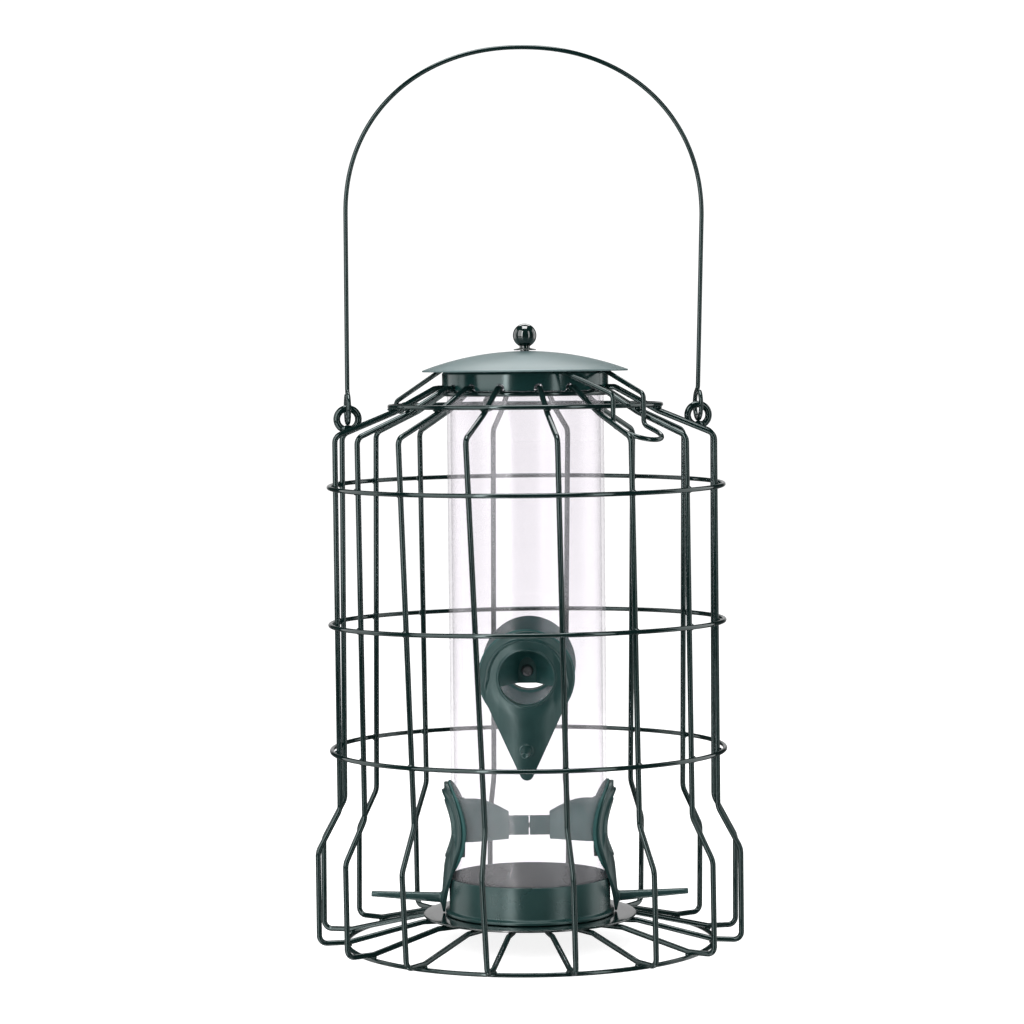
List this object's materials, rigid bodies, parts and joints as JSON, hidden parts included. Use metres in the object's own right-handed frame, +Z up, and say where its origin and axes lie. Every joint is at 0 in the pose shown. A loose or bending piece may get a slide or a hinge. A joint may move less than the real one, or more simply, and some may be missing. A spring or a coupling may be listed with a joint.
{
  "type": "squirrel proof bird feeder",
  "caption": "Clear seed tube with perch ports inside a bell-bottomed welded wire cage, under a hinged domed lid with a wire latch, hung from a swinging wire bail.",
  "frame": {"origin": "on the ground under the axis of the seed tube, at the centre of the base ring", "axes": "+Z up along the tube to the bail's apex, -Y towards the front port, +X to the right of it"},
  "size_m": [0.1868, 0.1868, 0.3944],
  "materials": {
    "wire_paint": "gloss",
    "plate_paint": "gloss",
    "cup_paint": "gloss",
    "dome_paint": "satin",
    "cap_paint": "gloss",
    "knob_paint": "gloss",
    "hood_plastic": "satin",
    "plate_plastic": "satin",
    "clear_tube": "clear plastic",
    "plated_steel": "plated"
  },
  "bodies": {
    "cage": {"cage_wire_01": "wire_paint", "cage_wire_02": "wire_paint", "cage_wire_03": "wire_paint", "cage_wire_04": "wire_paint", "cage_wire_05": "wire_paint", "cage_wire_06": "wire_paint", "cage_wire_07": "wire_paint", "cage_wire_08": "wire_paint", "cage_wire_09": "wire_paint", "cage_wire_10": "wire_paint", "cage_wire_11": "wire_paint", "cage_wire_12": "wire_paint", "cage_wire_13": "wire_paint", "cage_wire_14": "wire_paint", "cage_wire_15": "wire_paint", "cage_wire_16": "wire_paint", "hoop_upper": "wire_paint", "hoop_middle": "wire_paint", "hoop_lower": "wire_paint", "shoulder_ring": "wire_paint", "neck_ring": "wire_paint", "base_ring": "wire_paint", "eyelet_left": "wire_paint", "eyelet_right": "wire_paint", "base_plate": "plate_paint", "seed_cup": "cup_paint", "tube": "clear_tube", "port_hood_front": "hood_plastic", "port_hood_back": "hood_plastic", "port_hood_right": "hood_plastic", "port_hood_left": "hood_plastic", "port_plate_front": "plate_plastic", "port_plate_back": "plate_plastic", "port_plate_right": "plate_plastic", "port_plate_left": "plate_plastic", "strap_screw_upper": "plated_steel", "strap_screw_lower": "plated_steel"},
    "lid": {"lid_dome": "dome_paint", "lid_cap": "cap_paint", "lid_knob": "knob_paint", "lid_nut": "plated_steel", "latch_wire": "wire_paint"},
    "bail": {"bail": "wire_paint"}
  },
  "joints": [
    {"name": "lid_hinge", "type": "hinge", "parent": "cage", "child": "lid", "pos_m": [-0.03603, 0.03905, 0.23705], "axis": [-0.7349, -0.6782, 0], "range_deg": [0, 115]},
    {"name": "bail_swing", "type": "hinge", "parent": "cage", "child": "bail", "pos_m": [-0.00046, 0.00299, 0.23652], "axis": [0.9884, 0.1521, 0], "range_deg": [-105, 105]}
  ]
}
